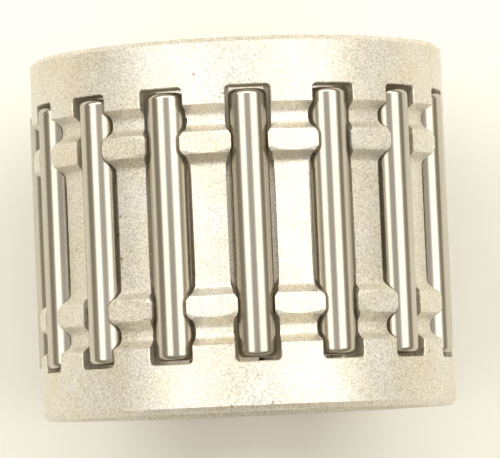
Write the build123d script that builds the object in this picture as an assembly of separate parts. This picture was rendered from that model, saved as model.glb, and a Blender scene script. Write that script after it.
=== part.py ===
from build123d import *

import math
import os

# Needle roller and cage assembly: one machined window cage that holds fifteen loose needles.
# The bearing's axis is +Y and its centre is the origin. It lies on its side, so +Z is up, and it is
# turned so that the first needle is a few degrees past the top, towards +X. Millimetres throughout.

# ---- Driving dimensions -------------------------------------------------------------------------
SHAFT_D = 23.0  # circle that touches the needles from inside
HOUSING_D = 28.0  # circle that touches the needles from outside
CAGE_WIDTH = 24.0  # over the two end faces
NEEDLE_COUNT = 15
NEEDLE_LENGTH = 17.25
NEEDLE_END_RADIUS = 0.4  # rounding between a needle's side and its flat end
FIRST_NEEDLE_ANGLE = 3.0  # degrees from +Z towards +X

CAGE_STANDOFF = 0.2  # the needles stand this far out of the cage, inside and outside
RIM_CHAMFER = 0.3
EDGE_BREAK = 0.06  # deburred edge around each pocket in the end bands
BORE_LAND_START = 9.0  # past the pockets: the bore is an unbroken circle from here to its end

# ---- Turned profile of the cage, half a width: distances from the middle along the axis ----------
RECESS_DEPTH = 0.86  # the bars' long middle stretch
RECESS_FLOOR_END = 4.05
LIP_INNER_EDGE = 4.56  # the retaining lips stand between the recess and the groove
LIP_OUTER_EDGE = 5.99
LIP_SHOULDER_DROP = 0.15  # the lip's crest falls this much towards both its edges
GROOVE_DEPTH = 0.78
GROOVE_FLOOR_INNER = 6.45
GROOVE_FLOOR_OUTER = 7.25
GROOVE_MOUTH_OUTER = 7.75  # the end band starts here
RECESS_FILLET = 0.5
GROOVE_FILLET = 0.5

# ---- Pockets ------------------------------------------------------------------------------------
POCKET_LENGTH = 17.75
POCKET_WIDTH = 2.95  # at the outside, in the end bands
POCKET_WAIST = 3.12  # the widest place, near the pitch circle
POCKET_THROAT = 2.24  # at the bore, narrower than a needle, so that no needle falls inwards
POCKET_CORNER = 0.3
WAIST_ABOVE_PITCH = 0.1
RELIEF_WIDTH = 3.17  # the bars' middle stretch is cut back a little further
RELIEF_LENGTH = 8.7
RELIEF_CORNER = 1.2
RELIEF_BELOW_PITCH = 0.6

# ---- Retaining lips -----------------------------------------------------------------------------
LIP_GAP = 2.4  # between two facing lips, narrower than a needle
LIP_TIP_INNER, LIP_TIP_OUTER = 4.84, 5.73
LIP_ROOT_INNER, LIP_ROOT_OUTER = 4.38, 6.17
LIP_TIP_RADIUS = 0.16
LIP_UNDERSIDE = 0.57  # underside of the lip's tip, above the pitch circle
LIP_OVERLAP = 0.2  # each lip's outline starts this far inside the bar it belongs to
STAKED_FLAT_DROP = 0.13  # a flat punch leaves each lip this far under the cage's outside
STAKED_FLAT_WIDTH = 4.4  # the punch is wider than the bar,
STAKED_FLAT_MARGIN = 0.2  # and passes this far over both ends of a lip

# ---- Worked out from the above ------------------------------------------------------------------
NEEDLE_D = (HOUSING_D - SHAFT_D) / 2
PITCH_R = (HOUSING_D + SHAFT_D) / 4
CAGE_OUTER_R = HOUSING_D / 2 - CAGE_STANDOFF
CAGE_INNER_R = SHAFT_D / 2 + CAGE_STANDOFF
PITCH_ANGLE = 360 / NEEDLE_COUNT
HALF_WIDTH = CAGE_WIDTH / 2
WAIST_R = PITCH_R + WAIST_ABOVE_PITCH
CLEAR_R = CAGE_OUTER_R + 1.0  # cutting tools reach out to here
CLEAR_INNER_R = CAGE_INNER_R - 0.5  # and in to here
TOOL_MARGIN = 0.01  # a tool that bounds another is larger by this
SAME = 1e-3  # lengths closer than this are equal


def cage_blank():
    """The ring as it leaves the lathe: end bands, grooves, lips and the long recess."""
    recess_r = CAGE_OUTER_R - RECESS_DEPTH
    groove_r = CAGE_OUTER_R - GROOVE_DEPTH
    shoulder_r = CAGE_OUTER_R - LIP_SHOULDER_DROP
    lip_middle = (LIP_INNER_EDGE + LIP_OUTER_EDGE) / 2
    outline = [
        Line((recess_r, -RECESS_FLOOR_END), (recess_r, RECESS_FLOOR_END)),
        Line((CAGE_INNER_R, -BORE_LAND_START), (CAGE_INNER_R, BORE_LAND_START)),
    ]
    for side in (1, -1):
        outline += [
            Line((recess_r, side * RECESS_FLOOR_END), (shoulder_r, side * LIP_INNER_EDGE)),
            ThreePointArc(
                (shoulder_r, side * LIP_INNER_EDGE),
                (CAGE_OUTER_R, side * lip_middle),
                (shoulder_r, side * LIP_OUTER_EDGE),
            ),
            Polyline(
                (shoulder_r, side * LIP_OUTER_EDGE),
                (groove_r, side * GROOVE_FLOOR_INNER),
                (groove_r, side * GROOVE_FLOOR_OUTER),
                (CAGE_OUTER_R, side * GROOVE_MOUTH_OUTER),
                (CAGE_OUTER_R, side * (HALF_WIDTH - RIM_CHAMFER)),
                (CAGE_OUTER_R - RIM_CHAMFER, side * HALF_WIDTH),
                (CAGE_INNER_R + RIM_CHAMFER, side * HALF_WIDTH),
                (CAGE_INNER_R, side * (HALF_WIDTH - RIM_CHAMFER)),
                (CAGE_INNER_R, side * BORE_LAND_START),
            ),
        ]
    section = make_face([edge for line in outline for edge in line.edges()])
    section = fillet(corners_at(section, recess_r, RECESS_FLOOR_END), RECESS_FILLET)
    for along in (GROOVE_FLOOR_INNER, GROOVE_FLOOR_OUTER):
        section = fillet(corners_at(section, groove_r, along), GROOVE_FILLET)
    return revolve(section, Axis.Y, clean=False)


def turned_to(k):
    """The turn about the bearing's axis that carries the top of the ring to needle k."""
    return Rot(0, FIRST_NEEDLE_ANGLE + k * PITCH_ANGLE, 0)


def corners_at(section, radius, along):
    """The two corners of the section at that radius and at that distance either side of the middle."""
    return section.vertices().filter_by(
        lambda v: abs(v.X - radius) < SAME and abs(abs(v.Y) - along) < SAME
    )


def radial_prism(outline, low, high):
    """An outline drawn flat in X and Y, raised along Z from low to high."""
    return Pos(0, 0, low) * extrude(outline, high - low)


def lip_outlines():
    """The four places where a lip reaches into the top pocket, seen from outside."""
    root = POCKET_WIDTH / 2 + LIP_OVERLAP
    outlines = []
    for across in (1, -1):
        for along in (1, -1):
            lip = Polygon(
                (across * root, along * LIP_ROOT_INNER),
                (across * POCKET_WIDTH / 2, along * LIP_ROOT_INNER),
                (across * LIP_GAP / 2, along * LIP_TIP_INNER),
                (across * LIP_GAP / 2, along * LIP_TIP_OUTER),
                (across * POCKET_WIDTH / 2, along * LIP_ROOT_OUTER),
                (across * root, along * LIP_ROOT_OUTER),
                align=None,
            )
            tips = lip.vertices().filter_by(lambda v: abs(abs(v.X) - LIP_GAP / 2) < SAME)
            outlines.append(fillet(tips, LIP_TIP_RADIUS))
    return outlines


def pocket_tool():
    """What is cut away for the needle at the top."""
    underside = PITCH_R + LIP_UNDERSIDE
    slope = (POCKET_WAIST - POCKET_THROAT) / 2 / (WAIST_R - CAGE_INNER_R)
    foot = POCKET_THROAT / 2 - slope * (CAGE_INNER_R - CLEAR_INNER_R)
    body = extrude(
        Plane.XZ
        * Polygon(
            (-foot, CLEAR_INNER_R),
            (foot, CLEAR_INNER_R),
            (POCKET_WAIST / 2, WAIST_R),
            (LIP_GAP / 2, underside),
            (-LIP_GAP / 2, underside),
            (-POCKET_WAIST / 2, WAIST_R),
            align=None,
        ),
        POCKET_LENGTH / 2,
        both=True,
    )
    body &= radial_prism(
        RectangleRounded(POCKET_WAIST + TOOL_MARGIN, POCKET_LENGTH, POCKET_CORNER),
        CLEAR_INNER_R - TOOL_MARGIN,
        CLEAR_R,
    )
    mouth = RectangleRounded(POCKET_WIDTH, POCKET_LENGTH, POCKET_CORNER)
    for lip in lip_outlines():
        mouth -= lip
    tool = body + radial_prism(mouth, WAIST_R, CLEAR_R)
    relief = RectangleRounded(RELIEF_WIDTH, RELIEF_LENGTH, RELIEF_CORNER)
    tool += radial_prism(relief, PITCH_R - RELIEF_BELOW_PITCH, CLEAR_R)
    return tool


def staking_tool():
    """What a flat punch takes off the two lips of the bar half a pitch from the top."""
    reach = LIP_ROOT_OUTER - LIP_ROOT_INNER + 2 * STAKED_FLAT_MARGIN
    middle = (LIP_ROOT_INNER + LIP_ROOT_OUTER) / 2
    flat = CAGE_OUTER_R - STAKED_FLAT_DROP
    size = (STAKED_FLAT_WIDTH, reach, CLEAR_R - flat)
    tools = []
    for side in (1, -1):
        block = Box(*size, align=(Align.CENTER, Align.CENTER, Align.MIN))
        tools.append(Rot(0, PITCH_ANGLE / 2, 0) * (Pos(0, side * middle, flat) * block))
    return tools


def on_band_mouth(edge):
    """True for an edge around a pocket's mouth in an end band."""
    point = edge @ 0.5
    at_surface = abs(math.hypot(point.X, point.Z) - CAGE_OUTER_R) < SAME
    past_groove = GROOVE_MOUTH_OUTER + SAME < abs(point.Y)
    return at_surface and past_groove and abs(point.Y) < POCKET_LENGTH / 2 + SAME


def cage():
    """The blank with its pockets cut and its lips staked; the bore's lands stay faces of their own."""
    tools = []
    one_pocket = pocket_tool()
    one_bar = staking_tool()
    for k in range(NEEDLE_COUNT):
        tools.append(turned_to(k) * one_pocket)
        tools.extend(turned_to(k) * block for block in one_bar)
    ring = cage_blank().cut(*tools)
    return chamfer(ring.edges().filter_by(on_band_mouth), EDGE_BREAK)


def needle(k):
    """Needle k, counted from the first towards +X."""
    body = extrude(Plane.XZ * Circle(NEEDLE_D / 2), NEEDLE_LENGTH / 2, both=True)
    body = fillet(body.edges().filter_by(GeomType.CIRCLE), NEEDLE_END_RADIUS)
    return turned_to(k) * (Pos(0, 0, PITCH_R) * body)


def main():
    os.makedirs("parts", exist_ok=True)
    export_step(cage(), "parts/cage.step")
    for k in range(NEEDLE_COUNT):
        export_step(needle(k), f"parts/needle_roller_{k + 1:02d}.step")


main()
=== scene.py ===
# Looks for the needle roller and cage assembly: metals, floor, soft light and camera.
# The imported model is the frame. Its axis is +Y, +Z is up, and it lies on its side on a pale floor.
# Metres throughout.

import bpy
import math
from mathutils import Matrix, Vector


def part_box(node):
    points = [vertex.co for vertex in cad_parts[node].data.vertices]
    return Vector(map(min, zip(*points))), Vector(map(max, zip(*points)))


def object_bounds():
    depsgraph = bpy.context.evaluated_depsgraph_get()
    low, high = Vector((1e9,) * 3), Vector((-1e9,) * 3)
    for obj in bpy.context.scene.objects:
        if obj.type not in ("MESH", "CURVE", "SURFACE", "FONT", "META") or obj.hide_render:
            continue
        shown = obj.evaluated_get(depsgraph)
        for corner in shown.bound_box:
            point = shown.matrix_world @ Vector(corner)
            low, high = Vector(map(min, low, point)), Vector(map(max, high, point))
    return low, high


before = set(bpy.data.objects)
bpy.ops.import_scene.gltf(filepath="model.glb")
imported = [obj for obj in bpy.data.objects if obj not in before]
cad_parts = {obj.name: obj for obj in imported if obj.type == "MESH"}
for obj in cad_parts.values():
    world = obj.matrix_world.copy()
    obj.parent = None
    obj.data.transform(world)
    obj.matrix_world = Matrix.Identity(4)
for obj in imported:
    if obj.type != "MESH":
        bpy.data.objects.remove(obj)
cad_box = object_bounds()

# ---- Driving values -----------------------------------------------------------------------------
CAGE = "cage"
CAGE_LOW, CAGE_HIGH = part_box(CAGE)
CAGE_R = (CAGE_HIGH.x - CAGE_LOW.x) / 2
FLOOR_Z = cad_box[0].z

CAMERA_DISTANCE = 22.2 * CAGE_R
CAMERA_ELEVATION = 86.8  # degrees: almost straight down, a little towards -Y
CAMERA_TURN = 2.45  # degrees about the line of sight
CAMERA_LENS = 329.0
AIM_RIGHT, AIM_UP = 0.0353 * CAGE_R, 0.0257 * CAGE_R  # the bearing sits a little off the middle

LIGHT_TINT = (1.0, 0.99, 0.965)
LIGHT_HEIGHT = 0.30
LIGHT_ALONG = 0.10  # the softboxes' middle is this far towards +Y, so that shadows fall towards -Y
# Each softbox is a strip along the needles, given by the angles from the vertical that it fills.
LEFT_SOFTBOX = (-50, -18)
RIGHT_SOFTBOX = (18, 58)
SOFTBOX_LENGTH = 0.5
SOFTBOX_RADIANCE = 1.88
# A third softbox beyond +Y lights paper and cage, and the needles can't reflect it to the camera.
END_SOFTBOX = (30, 54)
END_SOFTBOX_WIDTH = 1.0
END_SOFTBOX_RADIANCE = 3.1
# What the metals reflect beside the softboxes: (height of the direction, colour) upwards.
ROOM = [(0.0, (0.39, 0.345, 0.26)), (0.35, (0.34, 0.31, 0.245)), (0.95, (0.63, 0.61, 0.57))]

# Colours of the surfaces. Features per metre give the size of each kind of unevenness.
PLATING, WARM_PLATING = (0.895, 0.865, 0.80), (0.875, 0.815, 0.68)
PLATING_SPECK, PLATING_PIT = (0.60, 0.59, 0.565), (0.60, 0.46, 0.33)
GRAINS_PER_METRE, PATCHES_PER_METRE, SPOTS_PER_METRE = 15000, 320, 1500
STEEL, PALE_STEEL = (0.49, 0.455, 0.385), (0.55, 0.51, 0.435)
LINES_PER_METRE, SMEARS_PER_METRE = 2500, 700
ROUND_THE_NEEDLE, ALONG_THE_NEEDLE = (0.02, 4, 0.02), (1, 0.08, 1)
PAPER, PALE_PAPER = (0.85, 0.828, 0.760), (0.87, 0.848, 0.780)
CLOUDS_PER_METRE, FIBRES_PER_METRE = 25, 1800
WHITE = (1.0, 1.0, 1.0)
FLOOR_HALF_SIDE = 2.0


# ---- Small helpers for materials ----------------------------------------------------------------
def new_material(name):
    """A material with only its shader and output, and the shader itself."""
    material = bpy.data.materials.new(name)
    material.use_nodes = True
    return material, material.node_tree, material.node_tree.nodes["Principled BSDF"]


def add(tree, kind, **values):
    """A node with its named properties or input values set."""
    node = tree.nodes.new(kind)
    for name, value in values.items():
        if name in node.inputs:
            node.inputs[name].default_value = value
        else:
            setattr(node, name, value)
    return node


def place(tree, scale):
    """Object coordinates stretched by a scale on each axis."""
    where = add(tree, "ShaderNodeTexCoord")
    mapping = add(tree, "ShaderNodeMapping")
    mapping.inputs["Scale"].default_value = scale
    tree.links.new(where.outputs["Object"], mapping.inputs["Vector"])
    return mapping.outputs["Vector"]


def noise(tree, scale, detail=2.0, stretch=(1, 1, 1)):
    """Noise with about this many blobs to the metre."""
    node = add(tree, "ShaderNodeTexNoise", Scale=scale, Detail=detail)
    tree.links.new(place(tree, stretch), node.inputs["Vector"])
    return node.outputs["Fac"]


def cells(tree, scale):
    """A random value for each of the irregular cells, about this many to the metre."""
    node = add(tree, "ShaderNodeTexVoronoi", Scale=scale)
    tree.links.new(place(tree, (1, 1, 1)), node.inputs["Vector"])
    channels = add(tree, "ShaderNodeSeparateColor")
    tree.links.new(node.outputs["Color"], channels.inputs["Color"])
    return channels.outputs["Red"]


def ramp(tree, source, stops):
    """A colour ramp through (position, colour) stops."""
    node = add(tree, "ShaderNodeValToRGB")
    elements = node.color_ramp.elements
    while len(elements) < len(stops):
        elements.new(0.5)
    for element, (position, colour) in zip(elements, stops):
        element.position = position
        element.color = (*colour, 1)
    tree.links.new(source, node.inputs["Fac"])
    return node.outputs["Color"]


def multiply(tree, first, second):
    """One colour darkened by another."""
    node = add(tree, "ShaderNodeMix", data_type="RGBA", blend_type="MULTIPLY")
    factor, colour_a, colour_b = (node.inputs[i] for i in (0, 6, 7))
    factor.default_value = 1.0
    tree.links.new(first, colour_a)
    tree.links.new(second, colour_b)
    return node.outputs[2]


def spread(tree, source, low, high):
    """A 0-to-1 value carried to low-to-high."""
    node = add(tree, "ShaderNodeMapRange")
    node.inputs["To Min"].default_value = low
    node.inputs["To Max"].default_value = high
    tree.links.new(source, node.inputs["Value"])
    return node.outputs["Result"]


def bump(tree, source, distance, strength, below=None):
    """A normal that follows the source as relief of this depth, over the relief below."""
    node = add(tree, "ShaderNodeBump", Strength=strength, Distance=distance)
    tree.links.new(source, node.inputs["Height"])
    if below is not None:
        tree.links.new(below, node.inputs["Normal"])
    return node.outputs["Normal"]


# ---- Materials ----------------------------------------------------------------------------------
def plated_cage():
    """Satin silver-coloured plating: fine grey grain, a few pits and faint yellowed patches."""
    material, tree, shader = new_material("plated_cage")
    shader.inputs["Metallic"].default_value = 1.0
    grain = cells(tree, GRAINS_PER_METRE)
    patches = noise(tree, PATCHES_PER_METRE, detail=4)
    spots = noise(tree, SPOTS_PER_METRE, detail=1)
    colour = ramp(tree, patches, [(0.35, PLATING), (0.65, WARM_PLATING)])
    colour = multiply(tree, colour, ramp(tree, grain, [(0.0, PLATING_SPECK), (0.70, WHITE)]))
    colour = multiply(tree, colour, ramp(tree, spots, [(0.20, PLATING_PIT), (0.25, WHITE)]))
    tree.links.new(colour, shader.inputs["Base Color"])
    tree.links.new(spread(tree, grain, 0.42, 0.62), shader.inputs["Roughness"])
    coarse = bump(tree, spots, 0.00003, 0.25)
    tree.links.new(bump(tree, grain, 0.000006, 0.6, below=coarse), shader.inputs["Normal"])
    return material


def ground_needle():
    """Ground and polished steel, with faint lines round each needle and long soft smears."""
    material, tree, shader = new_material("ground_needle")
    shader.inputs["Metallic"].default_value = 1.0
    lines = noise(tree, LINES_PER_METRE, stretch=ROUND_THE_NEEDLE)
    smears = noise(tree, SMEARS_PER_METRE, stretch=ALONG_THE_NEEDLE)
    colour = ramp(tree, smears, [(0.35, STEEL), (0.65, PALE_STEEL)])
    tree.links.new(colour, shader.inputs["Base Color"])
    tree.links.new(spread(tree, smears, 0.18, 0.27), shader.inputs["Roughness"])
    tree.links.new(bump(tree, lines, 0.000002, 0.15), shader.inputs["Normal"])
    return material


def paper_floor():
    """Warm off-white paper with a slight unevenness."""
    material, tree, shader = new_material("paper_floor")
    clouds = noise(tree, CLOUDS_PER_METRE, detail=3)
    fibres = noise(tree, FIBRES_PER_METRE)
    colour = ramp(tree, clouds, [(0.3, PAPER), (0.7, PALE_PAPER)])
    tree.links.new(colour, shader.inputs["Base Color"])
    tree.links.new(bump(tree, fibres, 0.00002, 0.1), shader.inputs["Normal"])
    shader.inputs["Roughness"].default_value = 0.9
    return material


def dress_metals():
    """Each CAD node keeps its shape and gets its metal."""
    cage_metal, needle_metal = plated_cage(), ground_needle()
    for name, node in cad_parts.items():
        node.material_slots[0].material = cage_metal if name == CAGE else needle_metal


# ---- Floor, light and camera --------------------------------------------------------------------
def make_floor():
    """A flat sheet of paper that the bearing lies on."""
    mesh = bpy.data.meshes.new("floor")
    half = FLOOR_HALF_SIDE
    corners = [(x * half, y * half, FLOOR_Z) for x, y in ((-1, -1), (1, -1), (1, 1), (-1, 1))]
    mesh.from_pydata(corners, [], [(0, 1, 2, 3)])
    floor = bpy.data.objects.new("floor", mesh)
    bpy.context.scene.collection.objects.link(floor)
    mesh.materials.append(paper_floor())


def make_softbox(name, angles, radiance, beyond_end=False):
    """A flat strip light that fills the given angles from the vertical, seen from the bearing."""
    near, far = (LIGHT_HEIGHT * math.tan(math.radians(a)) for a in sorted(angles, key=abs))
    middle, span = (near + far) / 2, abs(far - near)
    light = bpy.data.lights.new(name, "AREA")
    light.shape = "RECTANGLE"
    light.size, light.size_y = (END_SOFTBOX_WIDTH, span) if beyond_end else (span, SOFTBOX_LENGTH)
    light.color = LIGHT_TINT
    light.energy = radiance * math.pi * light.size * light.size_y
    lamp = bpy.data.objects.new(name, light)
    lamp.location = (0, middle, LIGHT_HEIGHT) if beyond_end else (middle, LIGHT_ALONG, LIGHT_HEIGHT)
    bpy.context.scene.collection.objects.link(lamp)


def make_room():
    """The room that the metals reflect: grey overhead, darker towards the horizon."""
    world = bpy.data.worlds.new("room")
    world.use_nodes = True
    bpy.context.scene.world = world
    tree = world.node_tree
    where = add(tree, "ShaderNodeTexCoord")
    parts = add(tree, "ShaderNodeSeparateXYZ")
    tree.links.new(where.outputs["Generated"], parts.inputs[0])
    tree.links.new(ramp(tree, parts.outputs["Z"], ROOM), tree.nodes["Background"].inputs["Color"])


def make_camera():
    """The camera looks down on the bearing, turned a little about its line of sight."""
    elevation, turn = math.radians(CAMERA_ELEVATION), math.radians(CAMERA_TURN)
    back = Vector((0, -math.cos(elevation), math.sin(elevation)))
    along = (Vector((0, 1, 0)) - back * back.y).normalized()
    across = along.cross(back)
    up = along * math.cos(turn) + across * math.sin(turn)
    right = across * math.cos(turn) - along * math.sin(turn)
    data = bpy.data.cameras.new("camera")
    data.lens = CAMERA_LENS
    data.clip_start, data.clip_end = 0.01, 10
    camera = bpy.data.objects.new("camera", data)
    pose = Matrix((right, up, back)).transposed().to_4x4()
    pose.translation = back * CAMERA_DISTANCE + right * AIM_RIGHT + up * AIM_UP
    camera.matrix_world = pose
    bpy.context.scene.collection.objects.link(camera)
    bpy.context.scene.camera = camera


bpy.context.scene.view_settings.view_transform = "Standard"
dress_metals()
make_floor()
make_room()
make_softbox("softbox_left", LEFT_SOFTBOX, SOFTBOX_RADIANCE)
make_softbox("softbox_right", RIGHT_SOFTBOX, SOFTBOX_RADIANCE)
make_softbox("softbox_end", END_SOFTBOX, END_SOFTBOX_RADIANCE, beyond_end=True)
make_camera()
